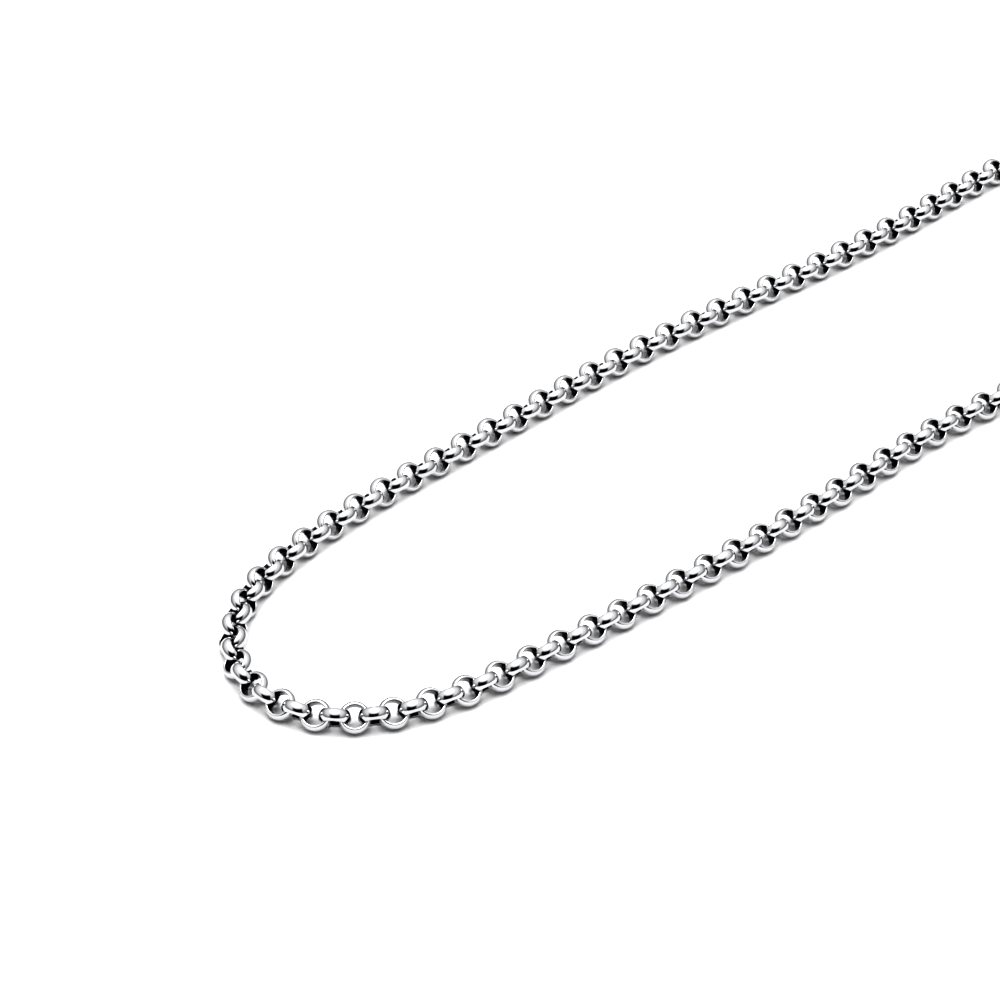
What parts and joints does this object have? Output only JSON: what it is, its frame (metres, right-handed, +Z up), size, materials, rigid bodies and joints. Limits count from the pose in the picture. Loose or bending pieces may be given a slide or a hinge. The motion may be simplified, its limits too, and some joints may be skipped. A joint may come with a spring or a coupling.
{
  "type": "round-link belcher neck chain",
  "caption": "Polished steel neck chain of closed round links, each passing through the next, closed by a lobster clasp and lying on a surface as one long loop.",
  "frame": {"origin": "on the surface that the chain lies on, under the middle of its box", "axes": "+X along the loop's length from the front bend to the clasp, +Y across the loop towards the far strand, +Z up from the surface"},
  "size_m": [0.2086, 0.0378, 0.0034],
  "materials": {
    "chain_steel": "mirror-polished stainless steel",
    "finding_steel": "polished stainless steel"
  },
  "bodies": {
    "root": {"chain_far": "chain_steel", "chain_near": "chain_steel", "jump_ring": "finding_steel", "lobster_clasp": "finding_steel", "end_ring": "finding_steel"}
  },
  "joints": []
}
